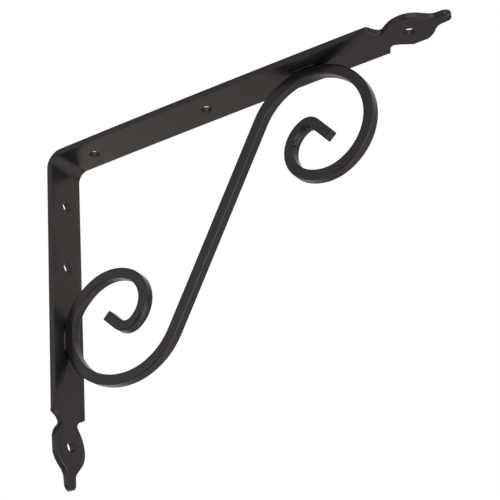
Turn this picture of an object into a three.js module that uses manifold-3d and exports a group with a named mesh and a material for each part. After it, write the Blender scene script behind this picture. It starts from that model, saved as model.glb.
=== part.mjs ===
// Wrought iron shelf bracket, in millimetres.
//
// One flat bar is bent square at the heel. The wall leg hangs down from the heel and the shelf
// leg reaches out from it, and each leg ends in a stamped spearhead. A scroll of thin square bar
// braces the two legs and is welded to each where it touches.
//
// X runs out from the wall, Y across the bar's width and +Z up. The wall face is at X = 0. The
// origin lies on it, midway between the top and the bottom screw of the wall leg.

import * as THREE from 'three';
import { mergeVertices } from 'three/addons/utils/BufferGeometryUtils.js';
import Module from 'manifold-3d';

const wasm = await Module();
wasm.setup();

// Flat bar
const BAR_WIDTH = 30;
const BAR_THICKNESS = 4.1;
const BEND_RADIUS = 8.0; // inside of the heel

// Legs, measured from the outer corner of the heel
const WALL_LEG_SHOULDER = 183.0;
const SHELF_LEG_SHOULDER = 243.4;

// Screw holes, measured from the outer corner of the heel. Each spearhead has one more.
const HOLE_DIAMETER = 7.6;
const WALL_HOLES = [35.6, 80.7];
const SHELF_HOLES = [28.5, 118.2];

// Spearhead: places along it are measured from the shoulder, and widths are half widths
const SPEAR_LENGTH = 48.4;
const SPEAR_HOLE_AT = 20.7;
const NOTCH_AT = 5.8;
const NOTCH_HALF_WIDTH = 7.9;
const NOTCH_RADIUS = 3.4;
const SHOULDER_SLANT = 1.2; // how far the cut leans out before it rounds into the notch
const BLADE_AT = 21.5;
const BLADE_HALF_WIDTH = 14.4;
const NECK_AT = 41.5;
const TIP_HALF_WIDTH = 3.9;
const NOTCH_REACH = 1.5; // how far each curve runs straight on before it turns
const BLADE_REACH_BACK = 9;
const BLADE_REACH_ON = 11;
const NECK_REACH = 8;

// Scroll of square bar, bent cold round five formers at each end. Radii are on the bar's centre
// line, in order from the brace inwards, and turns and slopes are in degrees.
const SCROLL_BAR = 6.9;
const BRACE_SLOPE = 59.2; // above level
const BRACE_LENGTH = 140.4;
const LOWER_SWEEP_RADIUS = 44.2;
const LOWER_BACK_RADIUS = 36.6;
const LOWER_CROWN_RADIUS = 29.6;
const LOWER_CLOSE_RADIUS = 19.2;
const LOWER_EYE_RADIUS = 9.2;
const LOWER_TAIL = 10.9; // straight end past the last bend
const UPPER_SWEEP_RADIUS = 42.1;
const UPPER_BACK_RADIUS = 35.8;
const UPPER_CROWN_RADIUS = 29.2;
const UPPER_CLOSE_RADIUS = 18.9;
const UPPER_EYE_RADIUS = 6.35;
const UPPER_TAIL = 13.7;
const LOWER_VOLUTE = [
  { radius: LOWER_SWEEP_RADIUS, turn: 85.3 },
  { radius: LOWER_BACK_RADIUS, turn: 117.5 },
  { radius: LOWER_CROWN_RADIUS, turn: 68.7 },
  { radius: LOWER_CLOSE_RADIUS, turn: 115.7 },
  { radius: LOWER_EYE_RADIUS, turn: 80.7 },
];
const UPPER_VOLUTE = [
  { radius: UPPER_SWEEP_RADIUS, turn: 97.0 },
  { radius: UPPER_BACK_RADIUS, turn: 117.0 },
  { radius: UPPER_CROWN_RADIUS, turn: 52.7 },
  { radius: UPPER_CLOSE_RADIUS, turn: 131.4 },
  { radius: UPPER_EYE_RADIUS, turn: 71.5 },
];

// Weld beads, one on each side of the scroll bar where it touches a leg
const WELD_LENGTH = 17;
const WELD_LEG = 1.6;

// Clearances
const SEAT_GAP = 0.3; // between a piece and the one that it is welded to
const CUT_OVERRUN = 2; // how far a cutter runs past the faces that it cuts

// Fineness of the curves
const ARC_STEP = 4; // degrees
const CURVE_POINTS = 18;
const HOLE_SIDES = 48;
const BEND_SIDES = 16;
const BEAD_SIDES = 24;

// Places that follow from the sizes above
const WALL_SPEAR_HOLE = WALL_LEG_SHOULDER + SPEAR_HOLE_AT;
const SHELF_SPEAR_HOLE = SHELF_LEG_SHOULDER + SPEAR_HOLE_AT;
const SHELF_PLANE = (WALL_HOLES[0] + WALL_SPEAR_HOLE) / 2; // height of the shelf above the origin

const blackPaint = () => new THREE.MeshStandardMaterial({
  color: 0x1b1b1c,
  roughness: 0.5,
  metalness: 0.0,
});

// Frame of a leg: X runs along it from the heel, Z goes in from its outer face
function legFrame(along, inwards) {
  const across = new THREE.Vector3().crossVectors(inwards, along);
  const frame = new THREE.Matrix4().makeBasis(along, across, inwards);
  return frame.setPosition(0, 0, SHELF_PLANE);
}

const OUT = new THREE.Vector3(1, 0, 0);
const DOWN = new THREE.Vector3(0, 0, -1);
const WALL_LEG = legFrame(DOWN, OUT);
const SHELF_LEG = legFrame(OUT, DOWN);

function toSolid(geometry) {
  const bare = geometry.index ? geometry.toNonIndexed() : geometry.clone();
  bare.deleteAttribute('normal');
  bare.deleteAttribute('uv');
  const merged = mergeVertices(bare, 1e-4);
  return new wasm.Manifold(new wasm.Mesh({
    numProp: 3,
    vertProperties: new Float32Array(merged.attributes.position.array),
    triVerts: new Uint32Array(merged.index.array),
  }));
}

function toGeometry(solid) {
  const mesh = solid.getMesh();
  const geometry = new THREE.BufferGeometry();
  geometry.setAttribute('position', new THREE.BufferAttribute(mesh.vertProperties, 3));
  geometry.setIndex(new THREE.BufferAttribute(mesh.triVerts, 1));
  geometry.computeVertexNormals();
  return geometry;
}

function mesh(name, geometry) {
  const piece = new THREE.Mesh(geometry, blackPaint());
  piece.name = name;
  return piece;
}

// A shape drawn in the bracket's side view, x out from the wall and y below the shelf plane as
// a negative height, carried across the bar by a width centred on Y = 0
function acrossBar(shape, width, curveSegments) {
  const geometry = new THREE.ExtrudeGeometry(shape, {
    depth: width,
    bevelEnabled: false,
    curveSegments,
  });
  geometry.rotateX(Math.PI / 2);
  return geometry.translate(0, width / 2, SHELF_PLANE);
}

// Side view of the flat bar after bending, up to both tips
function bentBar() {
  const outer = BEND_RADIUS + BAR_THICKNESS;
  const foot = -(WALL_LEG_SHOULDER + SPEAR_LENGTH);
  const reach = SHELF_LEG_SHOULDER + SPEAR_LENGTH;
  const side = new THREE.Shape();
  side.moveTo(0, foot);
  side.lineTo(BAR_THICKNESS, foot);
  side.lineTo(BAR_THICKNESS, -outer);
  side.absarc(outer, -outer, BEND_RADIUS, Math.PI, Math.PI / 2, true);
  side.lineTo(reach, -BAR_THICKNESS);
  side.lineTo(reach, 0);
  side.lineTo(outer, 0);
  side.absarc(outer, -outer, outer, Math.PI / 2, Math.PI, false);
  return acrossBar(side, BAR_WIDTH, BEND_SIDES);
}

// One edge of a spearhead, from the shoulder to the middle of the tip: a slanted cut, a round
// notch, the swell of the blade, the neck and a round tip
function spearEdge() {
  const notchCentre = NOTCH_HALF_WIDTH + NOTCH_RADIUS;
  const cut = new THREE.Path();
  cut.moveTo(0, BAR_WIDTH / 2);
  cut.lineTo(SHOULDER_SLANT, notchCentre + NOTCH_RADIUS / 2);
  cut.bezierCurveTo(
    NOTCH_AT - NOTCH_RADIUS, notchCentre - NOTCH_RADIUS / 2,
    NOTCH_AT - NOTCH_REACH, NOTCH_HALF_WIDTH,
    NOTCH_AT, NOTCH_HALF_WIDTH,
  );
  cut.bezierCurveTo(
    NOTCH_AT + NOTCH_REACH, NOTCH_HALF_WIDTH,
    BLADE_AT - BLADE_REACH_BACK, BLADE_HALF_WIDTH,
    BLADE_AT, BLADE_HALF_WIDTH,
  );
  cut.bezierCurveTo(
    BLADE_AT + BLADE_REACH_ON, BLADE_HALF_WIDTH,
    NECK_AT - NECK_REACH, TIP_HALF_WIDTH,
    NECK_AT, TIP_HALF_WIDTH,
  );
  const tipCentre = SPEAR_LENGTH - TIP_HALF_WIDTH;
  cut.lineTo(tipCentre, TIP_HALF_WIDTH);
  cut.absarc(tipCentre, 0, TIP_HALF_WIDTH, Math.PI / 2, 0, true);
  return cut.getPoints(CURVE_POINTS);
}

// What the press stamps away round a spearhead, as a plate that runs past both faces
function stampedWaste(shoulder) {
  const edge = spearEdge();
  const side = BAR_WIDTH / 2 + CUT_OVERRUN;
  const end = SPEAR_LENGTH + CUT_OVERRUN;
  const outline = [
    new THREE.Vector2(0, side),
    ...edge,
    ...edge.slice(0, -1).reverse().map((p) => new THREE.Vector2(p.x, -p.y)),
    new THREE.Vector2(0, -side),
    new THREE.Vector2(end, -side),
    new THREE.Vector2(end, side),
  ];
  const plate = new THREE.ExtrudeGeometry(new THREE.Shape(outline), {
    depth: BAR_THICKNESS + 2 * CUT_OVERRUN,
    bevelEnabled: false,
  });
  return plate.translate(shoulder, 0, -CUT_OVERRUN);
}

function holeCutter(along) {
  const length = BAR_THICKNESS + 2 * CUT_OVERRUN;
  const radius = HOLE_DIAMETER / 2;
  const cutter = new THREE.CylinderGeometry(radius, radius, length, HOLE_SIDES);
  return cutter.rotateX(Math.PI / 2).translate(along, 0, BAR_THICKNESS / 2);
}

function strap() {
  const cutters = [
    stampedWaste(WALL_LEG_SHOULDER).applyMatrix4(WALL_LEG),
    stampedWaste(SHELF_LEG_SHOULDER).applyMatrix4(SHELF_LEG),
  ];
  for (const along of [...WALL_HOLES, WALL_SPEAR_HOLE]) {
    cutters.push(holeCutter(along).applyMatrix4(WALL_LEG));
  }
  for (const along of [...SHELF_HOLES, SHELF_SPEAR_HOLE]) {
    cutters.push(holeCutter(along).applyMatrix4(SHELF_LEG));
  }
  let solid = toSolid(bentBar());
  for (const cutter of cutters) {
    solid = solid.subtract(toSolid(cutter));
  }
  return toGeometry(solid);
}

// Centre line of half the scroll, from the middle of the brace to the end of one tail. Each
// station is a point and the heading of the bar there, and both volutes turn clockwise.
function halfScroll(heading, volute, tail) {
  const stations = [];
  const at = new THREE.Vector2();
  const go = (length) => {
    at.x += length * Math.cos(heading);
    at.y += length * Math.sin(heading);
  };
  go(BRACE_LENGTH / 2);
  stations.push({ point: at.clone(), heading });
  for (const { radius, turn } of volute) {
    const steps = Math.ceil(turn / ARC_STEP);
    const bend = THREE.MathUtils.degToRad(turn / steps);
    for (let i = 0; i < steps; i += 1) {
      heading -= bend / 2;
      go(2 * radius * Math.sin(bend / 2));
      heading -= bend / 2;
      stations.push({ point: at.clone(), heading });
    }
  }
  go(tail);
  stations.push({ point: at.clone(), heading });
  return stations;
}

// Both sides of the square bar in the side view, from the upper tail to the lower one and back
function scrollOutline() {
  const slope = THREE.MathUtils.degToRad(BRACE_SLOPE);
  const upper = halfScroll(slope, UPPER_VOLUTE, UPPER_TAIL);
  const lower = halfScroll(slope + Math.PI, LOWER_VOLUTE, LOWER_TAIL);
  const side = ({ point, heading }, offset) => new THREE.Vector2(
    point.x - offset * Math.sin(heading),
    point.y + offset * Math.cos(heading),
  );
  const half = SCROLL_BAR / 2;
  const outside = [
    ...upper.map((station) => side(station, half)).reverse(),
    ...lower.map((station) => side(station, -half)),
  ];
  const inside = [
    ...lower.map((station) => side(station, half)).reverse(),
    ...upper.map((station) => side(station, -half)),
  ];
  return [...outside, ...inside];
}

// The scroll is pushed into the heel until it touches both legs, and welded there
function seatScroll() {
  const outline = scrollOutline();
  const left = outline.reduce((a, b) => (b.x < a.x ? b : a));
  const top = outline.reduce((a, b) => (b.y > a.y ? b : a));
  const seat = BAR_THICKNESS + SEAT_GAP;
  const shift = new THREE.Vector2(seat - left.x, -seat - top.y);
  return {
    outline: outline.map((point) => point.clone().add(shift)),
    wallTouch: -(left.y + shift.y),
    shelfTouch: top.x + shift.x,
  };
}

// A convex fillet between a leg and a side of the scroll bar: a quarter of a long round bead.
// In the leg's frame it lies along the leg, and side is -1 or 1 across it.
function weldBead(along, side) {
  const radius = WELD_LEG + SEAT_GAP;
  const bead = new THREE.SphereGeometry(1, BEAD_SIDES, BEAD_SIDES);
  bead.scale(WELD_LENGTH / 2, radius, radius);
  const corner = new THREE.BoxGeometry(WELD_LENGTH, radius, radius);
  corner.translate(0, side * (SEAT_GAP + radius / 2), SEAT_GAP + radius / 2);
  const fillet = toGeometry(toSolid(bead).intersect(toSolid(corner)));
  return fillet.translate(along, side * SCROLL_BAR / 2, BAR_THICKNESS);
}

const scroll = seatScroll();
const bracket = new THREE.Group();
bracket.add(mesh('strap', strap()));
bracket.add(mesh('scroll', acrossBar(new THREE.Shape(scroll.outline), SCROLL_BAR, 1)));

const joints = [
  { name: 'lower_weld', frame: WALL_LEG, along: scroll.wallTouch },
  { name: 'upper_weld', frame: SHELF_LEG, along: scroll.shelfTouch },
];
const across = new THREE.Vector3();
for (const { name, frame, along } of joints) {
  for (const side of [-1, 1]) {
    const bead = weldBead(along, side).applyMatrix4(frame);
    bead.computeBoundingBox();
    bead.boundingBox.getCenter(across);
    bracket.add(mesh(`${name}_${across.y < 0 ? 'left' : 'right'}`, bead));
  }
}

export default bracket;
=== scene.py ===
import bmesh
import bpy
import numpy as np
from mathutils import Matrix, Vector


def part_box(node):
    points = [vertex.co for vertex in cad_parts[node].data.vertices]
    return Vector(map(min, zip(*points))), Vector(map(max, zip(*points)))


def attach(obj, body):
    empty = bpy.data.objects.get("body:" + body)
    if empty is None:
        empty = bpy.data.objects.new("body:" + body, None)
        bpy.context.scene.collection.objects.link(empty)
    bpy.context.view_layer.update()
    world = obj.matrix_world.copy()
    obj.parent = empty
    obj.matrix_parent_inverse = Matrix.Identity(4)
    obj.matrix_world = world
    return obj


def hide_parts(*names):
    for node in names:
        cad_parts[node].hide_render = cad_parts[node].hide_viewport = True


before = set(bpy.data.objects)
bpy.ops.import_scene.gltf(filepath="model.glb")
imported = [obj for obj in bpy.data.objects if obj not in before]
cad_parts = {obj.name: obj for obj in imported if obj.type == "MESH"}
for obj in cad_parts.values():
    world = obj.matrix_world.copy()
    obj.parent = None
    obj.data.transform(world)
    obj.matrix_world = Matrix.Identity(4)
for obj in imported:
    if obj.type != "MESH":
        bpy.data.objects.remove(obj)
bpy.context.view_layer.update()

# Strap: one length of 30 mm flat bar in mild steel, bent square at the heel, with a wall leg and a
# shelf leg. A press stamps each end to a spearhead and punches three screw holes in each leg, and
# the whole bracket is powder coated black after welding.
MM = 0.001
strap_low, strap_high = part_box("strap")
SHELF_PLANE = strap_high.z
BAR_HALF_WIDTH = strap_high.y
BAR_THICKNESS = 4.1 * MM
HEEL_INSIDE = 8.0 * MM
HEEL_OUTSIDE = HEEL_INSIDE + BAR_THICKNESS
HEEL_LENGTH = np.pi / 2 * (HEEL_INSIDE + HEEL_OUTSIDE) / 2
HEEL_BULGE = 0.012  # share by which the inner face spreads, and the outer one draws in
EDGE_RADIUS = 0.35 * MM
STAMPED_EDGE_RADIUS = 0.9 * MM  # where the press rolls the inner face of a spearhead over
STAMPED_EDGE_RUN = 6.0 * MM
HOLE_RADIUS = 3.65 * MM
HOLE_EDGE_RADIUS = 0.25 * MM
WALL_HOLES = np.array([35.6, 80.7]) * MM
SHELF_HOLES = np.array([28.5, 118.2]) * MM
SPEAR_HOLE_AT = 20.7 * MM
SPEAR_LENGTH = 48.4 * MM
WALL_SHOULDER = SHELF_PLANE - strap_low.z - SPEAR_LENGTH
SHELF_SHOULDER = strap_high.x - SPEAR_LENGTH
# Each press stroke lands a little off the bar's middle line: (offset at the shoulder, slope). On
# one side the blade then keeps the bar's own edge, and the belly is the point in mm, past the
# shoulder and off the middle, that the cut heads for from that edge.
WALL_STROKE = (-0.8 * MM, 0.038)
SHELF_STROKE = (0.93 * MM, 0.0)
WALL_BELLIES = {1: None, -1: (10.0, 13.3)}
SHELF_BELLIES = {1: (12.4, 11.6), -1: None}
STROKE_START = 2.5 * MM
CORNER_SOFTENING = 0.6 * MM  # how far along the edge stamping and paint round a corner
SPEAR_STEP = 0.2 * MM
SPEAR_ROWS = 190
BAR_STEP = 1.5 * MM
HEEL_ROWS = 23
FACE_COLUMNS = 15
# The surface round a hole is a patch of this half length, with rays from the rim to its edge, and
# points on them at these shares of the way.
BLOCK_REACH = 11.0 * MM
RAY_STEPS = np.array([0, 0.03, 0.2, 0.5, 1.0])
MERGE_DISTANCE = 0.002 * MM
# The shelf leg is arched a little, highest at this distance from the wall.
ARCH_AT = 165.0 * MM
ARCH_RISE = 0.4 * MM
ARCH_HALF_SPAN = 90.0 * MM


def bezier(start, first, second, end, steps=30):
    """Cubic curve: the four corners weighted by (1-t)^3, 3t(1-t)^2, 3t^2(1-t) and t^3."""
    t = np.linspace(0, 1, steps)[:, None]
    weights = np.hstack([(1 - t) ** 3, 3 * t * (1 - t) ** 2, 3 * t**2 * (1 - t), t**3])
    return weights @ np.array([start, first, second, end])


def spear_edge(belly):
    """One edge of a spearhead in mm, (distance past the shoulder, half width): a slanted cut, a
    round notch, the swell of the blade, the neck, and a quarter circle at the tip. The blade is
    round without a belly, and otherwise flat along the bar's own edge, between two corners."""
    half_bar, length = BAR_HALF_WIDTH / MM, SPEAR_LENGTH / MM
    notch, neck, tip = 7.9, 4.1, 3.9
    if belly is None:
        swell = bezier((5.8, notch), (7.3, notch), (12.4, 14.55), (21.5, 14.55))
        taper = bezier((21.5, 14.55), (32.2, 14.55), (35.0, neck), (40.6, neck))
    else:
        swell = bezier((5.8, notch), (7.6, notch), belly, (16.3, 14.2))
        taper = bezier((26.4, 14.2), (36.8, 9.3), (33.5, neck), (43.0, neck))
    a = np.linspace(np.pi / 2, 0, 16)[:, None]
    return np.vstack([
        [[-3.0, half_bar], [0.0, half_bar]],
        bezier((1.2, 12.9), (2.4, 9.5), (4.3, notch), (5.8, notch)),
        swell[1:],
        taper,
        np.hstack([length - tip + tip * np.cos(a), tip * np.sin(a)]),
    ])


def spaced(line, count):
    """The same line through count points, read off at even steps of its length."""
    along = np.append(0, np.cumsum(np.hypot(*np.diff(line, axis=0).T)))
    at = np.linspace(0, along[-1], count)
    return np.column_stack([np.interp(at, along, line[:, k]) for k in range(2)])


def off_middle(past, stroke):
    """How far the press stroke lies off the middle line: offset plus slope times the distance past
    the shoulder, brought in evenly over a short stretch round the shoulder."""
    offset, slope = stroke
    return (offset + slope * past) * np.clip((past + STROKE_START / 2) / STROKE_START, 0, 1)


def leg_edges(shoulder, stroke, bellies):
    """Both edges of a leg, (distance from the outer corner of the heel, place across). The whole
    outline of the spearhead is a moving average of itself, so its corners come out rounded."""
    outline = np.vstack([
        spear_edge(bellies[1]),
        spear_edge(bellies[-1])[-2::-1] * (1, -1),
    ]) * MM
    length = np.hypot(*np.diff(outline, axis=0).T).sum()
    outline = spaced(outline, int(length / SPEAR_STEP))
    count = int(CORNER_SOFTENING / SPEAR_STEP)
    window = np.ones(count) / count
    soft = np.column_stack([np.convolve(column, window, "valid") for column in outline.T])
    soft[:, 1] += off_middle(soft[:, 0], stroke)
    soft[:, 0] += shoulder
    tip = np.argmax(soft[:, 0])
    bar = np.linspace(HEEL_OUTSIDE, soft[0, 0], int((soft[0, 0] - HEEL_OUTSIDE) / BAR_STEP))[:-1]
    return [
        np.vstack([
            np.column_stack([bar, np.full(len(bar), side * BAR_HALF_WIDTH)]),
            spaced(spear, SPEAR_ROWS),
        ])
        for side, spear in ((1, soft[: tip + 1]), (-1, soft[:tip - 1:-1]))
    ]


def along_bar(distance):
    """Distance along the flat bar from the middle of the heel, for one from its outer corner: less
    the heel's outer radius, plus half its length."""
    return distance - HEEL_OUTSIDE + HEEL_LENGTH / 2


def bent(s, y, depth):
    """Flat bar to bent bar: straight down the wall leg for s below the heel's half length, round
    a quarter circle within it, and straight out along the shelf leg beyond it. depth goes in from
    the outer face. The inner face spreads at the heel by a bell curve, and the outer draws in.
    The shelf leg follows a parabola, eased in round the heel."""
    round_part = np.clip(s, -HEEL_LENGTH / 2, HEEL_LENGTH / 2)
    beyond = s - round_part
    angle = np.pi * (0.75 - 0.5 * round_part / HEEL_LENGTH)
    reach = HEEL_OUTSIDE - depth
    spread = HEEL_BULGE * np.exp(-(s / (0.5 * HEEL_LENGTH)) ** 2) * (2 * depth / BAR_THICKNESS - 1)
    x = HEEL_OUTSIDE + reach * np.cos(angle) + np.maximum(beyond, 0)
    z = SHELF_PLANE - HEEL_OUTSIDE + reach * np.sin(angle) + np.minimum(beyond, 0)
    arch = ARCH_RISE * (1 - ((x - ARCH_AT) / ARCH_HALF_SPAN) ** 2)
    arch *= np.clip(s / HEEL_LENGTH + 0.5, 0, 1) ** 2
    return np.stack(np.broadcast_arrays(x, y * (1 + spread), z + arch), axis=-1)


def rounded_edge(outer_radius, inner_radius, steps=7):
    """Profile over an edge as (inset, depth): a quarter circle off the outer face, the straight
    wall between and a quarter circle on to the inner face. The radii are columns."""
    a = np.linspace(0, np.pi / 2, steps)
    between = np.array([0.1, 0.5, 0.9])
    wall = outer_radius * (1 - between) + (BAR_THICKNESS - inner_radius) * between
    inset = np.hstack([
        outer_radius * (1 - np.sin(a)),
        0 * wall,
        inner_radius * (1 - np.sin(a[::-1])),
    ])
    depth = np.hstack([
        outer_radius * (1 - np.cos(a)),
        wall,
        BAR_THICKNESS - inner_radius * (1 - np.cos(a[::-1])),
    ])
    return inset, depth


def stamped(s):
    """Radius of the inner face's edge: that of the bar, and past each shoulder that of the stamped
    edge, eased in by a smooth step."""
    past = np.maximum(s - along_bar(SHELF_SHOULDER), -s - along_bar(WALL_SHOULDER))
    eased = np.clip(past / STAMPED_EDGE_RUN, 0, 1)
    return EDGE_RADIUS + (STAMPED_EDGE_RADIUS - EDGE_RADIUS) * eased**2 * (3 - 2 * eased)


def skin(name, patches):
    """A closed mesh from patches, each a grid of points and a mask of the cells that are kept.
    Each cell is a quad of four neighbouring points. Shared corners are merged."""
    points, quads, start = [], [], 0
    for grid, keep in patches:
        rows, columns = grid.shape[:2]
        index = start + np.arange(rows * columns).reshape(rows, columns)
        cells = np.stack([index[:-1, :-1], index[1:, :-1], index[1:, 1:], index[:-1, 1:]], axis=-1)
        quads.append(cells[np.ones(cells.shape[:2], bool) if keep is None else keep])
        points.append(grid.reshape(-1, 3))
        start += rows * columns
    mesh = bpy.data.meshes.new(name)
    mesh.from_pydata(np.vstack(points), [], np.vstack(quads))
    shell = bmesh.new()
    shell.from_mesh(mesh)
    bmesh.ops.remove_doubles(shell, verts=shell.verts, dist=MERGE_DISTANCE)
    bmesh.ops.dissolve_degenerate(shell, edges=shell.edges, dist=MERGE_DISTANCE)
    bmesh.ops.recalc_face_normals(shell, faces=shell.faces)
    shell.to_mesh(mesh)
    shell.free()
    mesh.shade_smooth()
    piece = bpy.data.objects.new(name, mesh)
    bpy.context.scene.collection.objects.link(piece)
    return piece


def strap_patches():
    """The strap's surface: both faces as grids ruled straight across from edge to edge, closer
    together at the edges by a sine, a ring of rays round each hole, and rounded edges round the
    outline and the holes."""
    wall = leg_edges(WALL_SHOULDER, WALL_STROKE, WALL_BELLIES)
    shelf = leg_edges(SHELF_SHOULDER, SHELF_STROKE, SHELF_BELLIES)
    heel = np.linspace(-HEEL_LENGTH / 2, HEEL_LENGTH / 2, HEEL_ROWS + 2)[1:-1]
    wall_side, minus = (
        np.vstack([
            np.column_stack([-along_bar(wall[k][::-1, 0]), wall[k][::-1, 1]]),
            np.column_stack([heel, np.full(len(heel), side * BAR_HALF_WIDTH)]),
            np.column_stack([along_bar(shelf[k][:, 0]), shelf[k][:, 1]]),
        ])
        for k, side in ((0, 1), (1, -1))
    )
    ring = np.vstack([wall_side, minus[-2::-1]])
    padded = np.vstack([ring[-2], ring, ring[1]])
    tangent = padded[2:] - padded[:-2]
    outwards = np.column_stack([-tangent[:, 1], tangent[:, 0]])
    outwards /= np.hypot(*outwards.T)[:, None]

    rolled = stamped(ring[:, :1])
    inset, depth = rounded_edge(np.full_like(rolled, EDGE_RADIUS), rolled)
    rim = ring[:, None, :] - inset[..., None] * outwards[:, None, :]
    patches = [(bent(rim[..., 0], rim[..., 1], depth), None)]
    hole_edge = np.full((1, 1), HOLE_EDGE_RADIUS)
    hole_inset, hole_depth = rounded_edge(hole_edge, hole_edge)
    holes = [(-along_bar(a), 0.0) for a in WALL_HOLES] + [(along_bar(a), 0.0) for a in SHELF_HOLES]
    holes += [
        (-along_bar(WALL_SHOULDER + SPEAR_HOLE_AT), off_middle(SPEAR_HOLE_AT, WALL_STROKE)),
        (along_bar(SHELF_SHOULDER + SPEAR_HOLE_AT), off_middle(SPEAR_HOLE_AT, SHELF_STROKE)),
    ]
    across = (1 + np.sin(np.linspace(-np.pi / 2, np.pi / 2, FACE_COLUMNS)))[None, :, None] / 2
    top = FACE_COLUMNS - 1

    def ruled(edge):
        """Points ruled straight across between the two edges of the outline, drawn in by edge."""
        drawn_in = (ring - edge * outwards)[:, None, :]
        return drawn_in[::-1][: len(wall_side)] * (1 - across) + drawn_in[: len(wall_side)] * across

    sharp = ruled(0)
    middle = sharp[:, top // 2, 0]
    for face_depth, edge in ((0.0, EDGE_RADIUS), (BAR_THICKNESS, rolled)):
        face = ruled(edge)
        keep = np.ones((len(face) - 1, top), bool)
        for hole in holes:
            first = np.argmin(np.abs(middle - (hole[0] - BLOCK_REACH)))
            last = np.argmin(np.abs(middle - (hole[0] + BLOCK_REACH)))
            keep[first:last] = False
            i = np.concatenate([
                np.arange(first, last), np.full(top, last),
                np.arange(last, first, -1), np.full(top + 1, first),
            ])
            j = np.concatenate([
                np.full(last - first, top), np.arange(top, 0, -1),
                np.zeros(last - first, int), np.arange(0, top + 1),
            ])
            around = (sharp[i, j] - hole)[:, None, :]
            around /= np.linalg.norm(around, axis=-1, keepdims=True)
            far = face[i, j][:, None, :]
            rim_of_hole = hole + (HOLE_RADIUS + HOLE_EDGE_RADIUS) * around
            out = RAY_STEPS[None, :, None]
            rays = rim_of_hole * (1 - out) + far * out
            patches.append((bent(rays[..., 0], rays[..., 1], face_depth), None))
            if face_depth == 0:
                bores = hole + (HOLE_RADIUS + hole_inset[..., None]) * around
                patches.append((bent(bores[..., 0], bores[..., 1], hole_depth), None))
        patches.append((bent(face[..., 0], face[..., 1], face_depth), keep))
    return patches


# Powder coat: features a metre, roughness where it is glossiest and dullest, and colour in the
# hollows, darkened there as painted shade, and on the tops of the orange peel. The noise varies
# between NOISE_LOW and NOISE_HIGH.
DRIFT_PER_METRE, PEEL_PER_METRE, GRAIN_PER_METRE = 60, 800, 3200
GLOSSIEST, DULLEST = 0.17, 0.21
PAINTED_SHADE_HOLLOW_COLOUR = (0.0085, 0.0083, 0.0083, 1)
PEAK_COLOUR = (0.0125, 0.0121, 0.0119, 1)
NOISE_LOW, NOISE_HIGH = 0.3, 0.7
GRAIN_TO_PEEL = 0.3
COAT_IOR = 1.5


def powder_coat(name, peel_height, seed):
    """Black satin powder coat. The roughness drifts over centimetres, and two sizes of grain raise
    the surface: orange peel of about a millimetre, its hollows darkened by painted shade, and a
    finer one on it."""
    coat = bpy.data.materials.new(name)
    coat.use_nodes = True
    nodes, links = coat.node_tree.nodes, coat.node_tree.links
    shader = nodes["Principled BSDF"]
    shader.inputs["IOR"].default_value = COAT_IOR
    place = nodes.new("ShaderNodeTexCoord")
    shift = nodes.new("ShaderNodeMapping")
    shift.inputs["Location"].default_value = (seed, 2 * seed, 3 * seed)
    links.new(place.outputs["Object"], shift.inputs["Vector"])

    def noise(per_metre, detail):
        """Noise on the piece's own coordinates, moved aside by the seed, from about 0.3 to 0.7."""
        node = nodes.new("ShaderNodeTexNoise")
        node.inputs["Scale"].default_value = per_metre
        node.inputs["Detail"].default_value = detail
        links.new(shift.outputs["Vector"], node.inputs["Vector"])
        return node.outputs["Fac"]

    def spread(value, low, high):
        """Noise on a straight line from low to high, held between them."""
        node = nodes.new("ShaderNodeMapRange")
        node.inputs["From Min"].default_value = NOISE_LOW
        node.inputs["From Max"].default_value = NOISE_HIGH
        node.inputs["To Min"].default_value = low
        node.inputs["To Max"].default_value = high
        links.new(value, node.inputs["Value"])
        return node.outputs["Result"]

    drift = noise(DRIFT_PER_METRE, 3)
    peel = noise(PEEL_PER_METRE, 1)
    grain = noise(GRAIN_PER_METRE, 1)
    links.new(spread(drift, GLOSSIEST, DULLEST), shader.inputs["Roughness"])
    # Painted shade: the base colour is darker in the hollows of the orange peel and lighter on its
    # tops.
    shade = nodes.new("ShaderNodeMix")
    shade.data_type = "RGBA"
    shade.inputs["A"].default_value = PAINTED_SHADE_HOLLOW_COLOUR
    shade.inputs["B"].default_value = PEAK_COLOUR
    links.new(spread(peel, 0.0, 1.0), shade.inputs["Factor"])
    links.new(shade.outputs["Result"], shader.inputs["Base Color"])
    coarse = nodes.new("ShaderNodeBump")
    coarse.inputs["Distance"].default_value = peel_height
    links.new(peel, coarse.inputs["Height"])
    fine = nodes.new("ShaderNodeBump")
    fine.inputs["Distance"].default_value = GRAIN_TO_PEEL * peel_height
    links.new(grain, fine.inputs["Height"])
    links.new(coarse.outputs["Normal"], fine.inputs["Normal"])
    links.new(fine.outputs["Normal"], shader.inputs["Normal"])
    return coat


def dress(piece, coat, *nodes):
    """Gives the piece its coat, hangs it under the root body, and hides the CAD nodes it stands for.
    """
    piece.data.materials.append(coat)
    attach(piece, "root")
    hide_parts(*nodes)


bar_coat = powder_coat("black_coat_on_flat_bar", peel_height=0.14 * MM, seed=0.11)
flat_bar = skin("bent_strap", strap_patches())
dress(flat_bar, bar_coat, "strap")

# Scroll: one length of 7 mm square bar in mild steel, bent cold round formers into an S with a
# volute at each end. The formers press and dent the bar at the tight bends, the ends are cut square
# on a shear, and the bar is welded on a little off the middle of the legs.
SCROLL_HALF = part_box("scroll")[1].y
SCROLL_EDGE_RADIUS = 0.8 * MM
BRACE_SLOPE = np.radians(59.2)
BRACE_LENGTH = 140.4 * MM
LOWER_RADII = np.array([44.2, 36.6, 29.6, 19.2, 9.2]) * MM
LOWER_TURNS = np.radians([85.3, 117.5, 68.7, 115.7, 80.7])
LOWER_TAIL = 10.9 * MM
UPPER_RADII = np.array([42.1, 35.8, 29.2, 18.9, 6.35]) * MM
UPPER_TURNS = np.radians([97.0, 117.0, 52.7, 131.4, 71.5])
UPPER_TAIL = 13.7 * MM
STATION = 0.8 * MM
SOFTENED_STATIONS = 3
SEAT = 0.05 * MM  # the weld's gap between the bar and a leg
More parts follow.
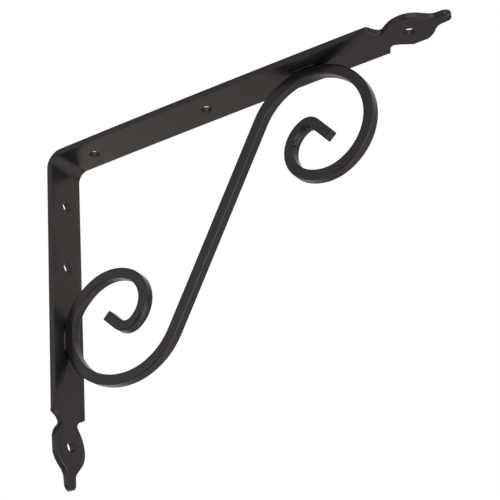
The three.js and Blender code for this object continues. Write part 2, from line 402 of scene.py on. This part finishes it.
# The hand bending wanders from the drawn curve by a few bell curves, each (place along the bar from
# the middle of the brace, size, reach) in mm. The front is the side at -Y. Positive in the bar's
# plane is to its left, seen from the front and going up, and positive across is to the back.
WANDER_IN_PLANE = ((-295, 0.35, 12), (-192, -1.0, 15), (-138, 0.45, 25), (155, -0.35, 20))
WANDER_ACROSS = ((-150, -0.5, 70), (-182, -0.45, 18))
OFF_MIDDLE = -0.35 * MM
# Where the formers press the right face of the bar, and where they dent its front right corner, each
# (place along the bar, depth, reach) in mm.
PRESSED = ((279, 1.6, 9), (-279, 0.8, 8))
DENTED = ((270, 2.6, 1.8), (288, 2.6, 1.8), (-281.5, 1.6, 5))
# Rings over each sheared end: share of the way in to the middle of the cut, and how far out.
CUT_RINGS_IN = np.array([0.0, 0.03, 0.09, 0.19, 0.5, 1.0])
CUT_RINGS_OUT = np.array([0.0, 0.22, 0.34, 0.38, 0.38, 0.38]) * MM


def half_scroll(slope, radii, turns, tail):
    """Centre line of half the scroll as (points, headings): the heading falls by step over radius
    along each arc, with the bend a moving average over a few stations, and the points are the
    running sum of the steps."""
    lengths = np.concatenate([[BRACE_LENGTH / 2], radii * turns, [tail]])
    bends = np.concatenate([[0], 1 / radii, [0]])
    count = int(lengths.sum() / STATION)
    step = lengths.sum() / count
    middle = (np.arange(count) + 0.5) * step
    bend = bends[np.searchsorted(np.cumsum(lengths), middle)]
    window = np.ones(SOFTENED_STATIONS) / SOFTENED_STATIONS
    bend = np.convolve(np.pad(bend, SOFTENED_STATIONS // 2, mode="edge"), window, "valid")
    heading = slope - np.append(0, np.cumsum(bend * step))
    between = (heading[1:] + heading[:-1]) / 2
    steps = np.column_stack([np.cos(between), np.sin(between)]) * step
    return np.vstack([[0, 0], np.cumsum(steps, axis=0)]), heading


def square_profile(half, radius):
    """Section of the bar as (across the bend, across the width): four quarter circles joined by
    straights, with a point close to each end of a straight to keep the flats flat."""
    arc = np.linspace(0, np.pi / 2, 7)
    corner = half - radius + radius * np.column_stack([np.cos(arc), np.sin(arc)])
    flat = (half - radius) * np.array([0.96, 0.8, 0.6, 0.3, 0.0, -0.3, -0.6, -0.8, -0.96])
    side = np.vstack([corner, np.column_stack([flat, np.full(len(flat), half)])])
    quarter = np.array([[0, 1], [-1, 0]])
    return np.vstack([side @ np.linalg.matrix_power(quarter, k) for k in range(4)])


def flat_bell(along, place, depth, reach):
    """Depth times exp(-(distance over reach)^4), as a column, for a place, depth and reach in mm."""
    return depth * MM * np.exp(-((along / MM - place) / reach) ** 4)[:, None]


def pressed(offsets, width, depth):
    """Presses the face on the right of the bar down towards the front edge: not at all behind the
    bar's middle, and by the depth at the front. The front face shrinks with it, by the square of
    the nearness to that side."""
    frontward = np.maximum(-width / SCROLL_HALF, 0)
    rightward = (SCROLL_HALF - offsets) / (2 * SCROLL_HALF)
    return offsets + depth * frontward * rightward**2


def dented(offsets, width, depth):
    """Presses the front right corner of the bar in: where the distances to the right and to the
    front add up to more than the bar's width less the depth, both shrink alike to add up to it."""
    past = np.maximum(-offsets - width - (2 * SCROLL_HALF - depth), 0) / 2
    return offsets + past, width + past


def wander(along, bells):
    """Sum of bell curves along the bar, each its size times exp(-(distance over reach)^2)."""
    place, size, reach = np.array(bells).T[:, :, None]
    return (size * np.exp(-((along / MM - place) / reach) ** 2)).sum(axis=0) * MM


def off_legs(along):
    """How far the scroll lies off the middle of the legs: as welded, plus its wander across."""
    return OFF_MIDDLE + wander(along, WANDER_ACROSS)


def scroll_patches():
    """The scroll's surface: the square profile carried along the centre line, closed at each end
    by rings that shrink to the middle of the cut. Where the bar would sink into the wall leg, it is
    moved out until it lies flat along it."""
    up, up_heading = half_scroll(BRACE_SLOPE, UPPER_RADII, UPPER_TURNS, UPPER_TAIL)
    down, down_heading = half_scroll(BRACE_SLOPE + np.pi, LOWER_RADII, LOWER_TURNS, LOWER_TAIL)
    line = np.vstack([down[:0:-1], up])
    heading = np.concatenate([down_heading[:0:-1] - np.pi, up_heading])
    along = np.append(0, np.cumsum(np.hypot(*np.diff(line, axis=0).T)))
    along -= along[len(down) - 1]
    normal = np.column_stack([-np.sin(heading), np.cos(heading)])
    sides = np.vstack([line - SCROLL_HALF * normal, line + SCROLL_HALF * normal])
    line[:, 0] += BAR_THICKNESS + SEAT - sides[:, 0].min()
    line[:, 1] += SHELF_PLANE - BAR_THICKNESS - SEAT - sides[:, 1].max()
    line += wander(along, WANDER_IN_PLANE)[:, None] * normal
    profile = square_profile(SCROLL_HALF, SCROLL_EDGE_RADIUS)
    offsets = np.repeat(profile[None, :, 0], len(line), axis=0)
    width = np.repeat(profile[None, :, 1], len(line), axis=0)
    for place in PRESSED:
        offsets = pressed(offsets, width, flat_bell(along, *place))
    for place in DENTED:
        offsets, width = dented(offsets, width, flat_bell(along, *place))
    width += off_legs(along)[:, None]
    body = np.stack([
        line[:, None, 0] + offsets * normal[:, None, 0],
        width,
        line[:, None, 1] + offsets * normal[:, None, 1],
    ], axis=-1)

    def cap(end, towards):
        """Rings over an end: its outline, drawn in to the middle by shares and moved outwards."""
        share = CUT_RINGS_IN[:, None, None]
        centre = body[end].mean(axis=0)
        direction = np.array([np.cos(heading[end]), 0, np.sin(heading[end])]) * towards
        return body[end] * (1 - share) + centre * share + direction * CUT_RINGS_OUT[:, None, None]

    rows = np.concatenate([cap(0, -1)[::-1], body[1:-1], cap(-1, 1)])
    into_wall_leg = BAR_THICKNESS + SEAT - rows[..., 0].min(axis=1)
    rows[..., 0] += np.maximum(into_wall_leg, 0)[:, None]
    return [(np.concatenate([rows, rows[:, :1]], axis=1), None)]


scroll_coat = powder_coat("black_coat_on_square_bar", peel_height=0.12 * MM, seed=0.37)
scroll_bar = skin("s_scroll", scroll_patches())
dress(scroll_bar, scroll_coat, "scroll")

# Weld beads: a short fillet of weld metal on each side of the scroll where it touches a leg, brushed
# down before the bracket was coated. The lower ones are smooth, and the upper ones show their pools
# and end in a small knob.
BEAD_OVERLAP = 0.15 * MM
BEAD_LENGTH = 13.6 * MM
BEAD_ROWS = 91
BEAD_COLUMNS = 13
POOL_PITCH = 2.3 * MM
KNOB_AT = 0.86  # share of the half length
KNOB_REACH = 0.1
# Radius of each bead's fillet, and the height of its pools and its knob as shares of that radius.
LOWER_BEAD = {"radius": 1.15 * MM, "pools": 0.03, "knob": 0}
UPPER_BEAD = {"radius": 0.48 * MM, "pools": 0.25, "knob": 0.5}
# Where the scroll touches each leg, along the square bar from the middle of the brace.
WALL_TOUCH = -177 * MM
SHELF_TOUCH = 114 * MM
SHELF_LEG_UNDERSIDE = SHELF_PLANE - BAR_THICKNESS + ARCH_RISE


def bead_patches(node, leg_axis, face, touch, bend, seed, radius, pools, knob):
    """A fillet along a leg: the section is a quarter circle from the leg's face to the side of the
    scroll. With u from -1 to 1 along the bead, its radius fades as (1 - u^2)^0.35, ripples by a
    sine with the pools and swells to a knob by a bell curve. Where the scroll bends away from the
    leg, by distance squared over twice the bend's radius, the fillet follows it. Both flat sides
    reach a little into the bars."""
    low, high = (np.array(corner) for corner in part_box(node))
    middle = (low + high) / 2
    side = np.sign(middle[1])
    rise_axis = 2 - leg_axis
    rise = np.sign(middle[rise_axis] - face)
    u = np.linspace(-1, 1, BEAD_ROWS)[:, None]
    ripple = 1 + pools * np.sin(2 * np.pi * (u * BEAD_LENGTH / 2 / POOL_PITCH + seed))
    swell = knob * np.exp(-(((u - KNOB_AT) / KNOB_REACH) ** 2))
    fade = (1 - u**2) ** 0.35
    size = BEAD_OVERLAP + radius * (fade * ripple + swell)
    away = (u * BEAD_LENGTH / 2) ** 2 / (2 * bend) * fade
    a = np.linspace(0, np.pi / 2, BEAD_COLUMNS)[None, :]
    fillet = np.zeros((u.size, a.size, 3))
    fillet[..., leg_axis] = middle[leg_axis] + u * BEAD_LENGTH / 2
    fillet[..., rise_axis] = face + rise * ((size + away) * np.cos(a) - BEAD_OVERLAP)
    fillet[..., 1] = off_legs(touch) + side * (SCROLL_HALF - BEAD_OVERLAP + size * np.sin(a))
    corner = fillet[:, :1].copy()
    corner[..., rise_axis] = face - rise * BEAD_OVERLAP
    closed = np.concatenate([corner, fillet, corner], axis=1)
    ends = [np.repeat(closed[[k], :1], closed.shape[1], axis=1) for k in (0, -1)]
    return [(np.concatenate([ends[0], closed, ends[1]]), None)]


bead_coat = powder_coat("black_coat_on_welds", peel_height=0.04 * MM, seed=0.73)
for hand, seed in (("left", 0.2), ("right", 0.7)):
    lower, upper = f"lower_weld_{hand}", f"upper_weld_{hand}"
    below = bead_patches(
        lower, 2, BAR_THICKNESS, WALL_TOUCH, LOWER_RADII[0], seed, **LOWER_BEAD
    )
    dress(skin(f"{lower}_bead", below), bead_coat, lower)
    above = bead_patches(
        upper, 0, SHELF_LEG_UNDERSIDE, SHELF_TOUCH, UPPER_RADII[0], seed, **UPPER_BEAD
    )
    dress(skin(f"{upper}_bead", above), bead_coat, upper)

# Studio: soft boxes stand all round the bracket, against a white surround that only the camera
# sees. The pale floor lies well below, and neither shades the bracket nor reflects light to it.
FLOOR_DEPTH = 0.75
FLOOR_SIZE = 30
FLOOR_PAINT = (0.95, 0.95, 0.95, 1)
floor_mesh = bpy.data.meshes.new("floor")
corners = np.array([[-1, -1], [1, -1], [1, 1], [-1, 1]]) * FLOOR_SIZE / 2
floor_mesh.from_pydata(np.column_stack([corners, np.full(4, -FLOOR_DEPTH)]), [], [[0, 1, 2, 3]])
floor = bpy.data.objects.new("floor", floor_mesh)
bpy.context.scene.collection.objects.link(floor)
floor_paint = bpy.data.materials.new("pale_floor")
floor_paint.use_nodes = True
floor_paint.node_tree.nodes["Principled BSDF"].inputs["Base Color"].default_value = FLOOR_PAINT
floor_mesh.materials.append(floor_paint)
floor.visible_diffuse = False
floor.visible_glossy = False
floor.visible_transmission = False
floor.visible_shadow = False

# Each soft box is (direction, colour and brightness at its middle, tightness). It fades outwards
# as exp(tightness * (cosine of the angle from its middle - 1)).
SOFT_BOXES = {
    "behind the wall leg": ((-0.91, 0.36, -0.18), (2.35, 2.02, 1.79), 9),
    "left of the camera": ((-0.62, -0.76, 0.18), (1.07, 0.97, 0.98), 9),
    "over the camera": ((0.46, -0.70, 0.55), (1.58, 1.50, 1.40), 9),
    "below and behind": ((0.24, 0.53, -0.82), (0.81, 0.72, 0.63), 9),
    "above and behind": ((0.12, 0.80, 0.58), (0.64, 0.57, 0.53), 9),
    "right and below": ((0.88, 0.01, -0.48), (3.26, 3.05, 3.41), 9),
    "right": ((0.97, 0.15, 0.22), (0.78, 0.70, 0.66), 9),
    "below the heel": ((-0.41, 0.23, -0.88), (0.70, 0.66, 0.73), 9),
    "behind": ((0.28, 0.95, -0.12), (0.48, 0.44, 0.39), 9),
    "below the front": ((-0.46, -0.68, -0.57), (0.75, 0.70, 0.83), 14),
    "front right": ((0.55, -0.82, -0.16), (1.60, 1.53, 1.68), 30),
    "high behind": ((-0.33, 0.75, 0.58), (0.65, 0.56, 0.47), 24),
    "straight above": ((-0.34, 0.00, 0.94), (0.40, 0.37, 0.44), 14),
}
world = bpy.data.worlds.new("studio")
world.use_nodes = True
sky, wires = world.node_tree.nodes, world.node_tree.links


def sky_maths(kind, operation, first, second=None, output=0):
    """One maths node of the surround. An input is another node's output or a plain value."""
    node = sky.new(kind)
    node.operation = operation
    for socket, value in zip(node.inputs, (first, second)):
        if isinstance(value, bpy.types.NodeSocket):
            wires.new(value, socket)
        elif value is not None:
            socket.default_value = value
    return node.outputs[output]


outwards = sky.new("ShaderNodeTexCoord").outputs["Generated"]
glow = (0, 0, 0)
for direction, colour, tightness in SOFT_BOXES.values():
    middle = np.array(direction) / np.linalg.norm(direction)
    cosine = sky_maths("ShaderNodeVectorMath", "DOT_PRODUCT", outwards, middle, "Value")
    fall = sky_maths("ShaderNodeMath", "SUBTRACT", cosine, 1.0)
    power = sky_maths("ShaderNodeMath", "MULTIPLY", fall, tightness)
    box = sky.new("ShaderNodeVectorMath")
    box.operation = "SCALE"
    box.inputs[0].default_value = colour
    wires.new(sky_maths("ShaderNodeMath", "EXPONENT", power), box.inputs["Scale"])
    glow = sky_maths("ShaderNodeVectorMath", "ADD", glow, box.outputs[0])
wires.new(glow, sky["Background"].inputs["Color"])
surround = sky.new("ShaderNodeBackground")
surround.inputs["Color"].default_value = (1, 1, 1, 1)
seen = sky.new("ShaderNodeMixShader")
wires.new(sky.new("ShaderNodeLightPath").outputs["Is Camera Ray"], seen.inputs["Fac"])
wires.new(sky["Background"].outputs[0], seen.inputs[1])
wires.new(surround.outputs[0], seen.inputs[2])
wires.new(seen.outputs[0], sky["World Output"].inputs["Surface"])
bpy.context.scene.world = world
bpy.context.scene.view_settings.view_transform = "Standard"

# Camera: below the bracket and off its front right, looking up at it.
CAMERA_PLACE = (0.5917, -0.7651, -0.4217)
CAMERA_YAW, CAMERA_PITCH, CAMERA_ROLL = np.radians([30.413, 25.834, 4.271])
CAMERA_LENS = 117.3
camera_data = bpy.data.cameras.new("camera")
camera_data.lens = CAMERA_LENS
camera_data.clip_end = 50
camera = bpy.data.objects.new("camera", camera_data)
bpy.context.scene.collection.objects.link(camera)
camera.matrix_world = (
    Matrix.Translation(CAMERA_PLACE)
    @ Matrix.Rotation(CAMERA_YAW, 4, "Z")
    @ Matrix.Rotation(np.pi / 2 + CAMERA_PITCH, 4, "X")
    @ Matrix.Rotation(-CAMERA_ROLL, 4, "Z")
)
bpy.context.scene.camera = camera
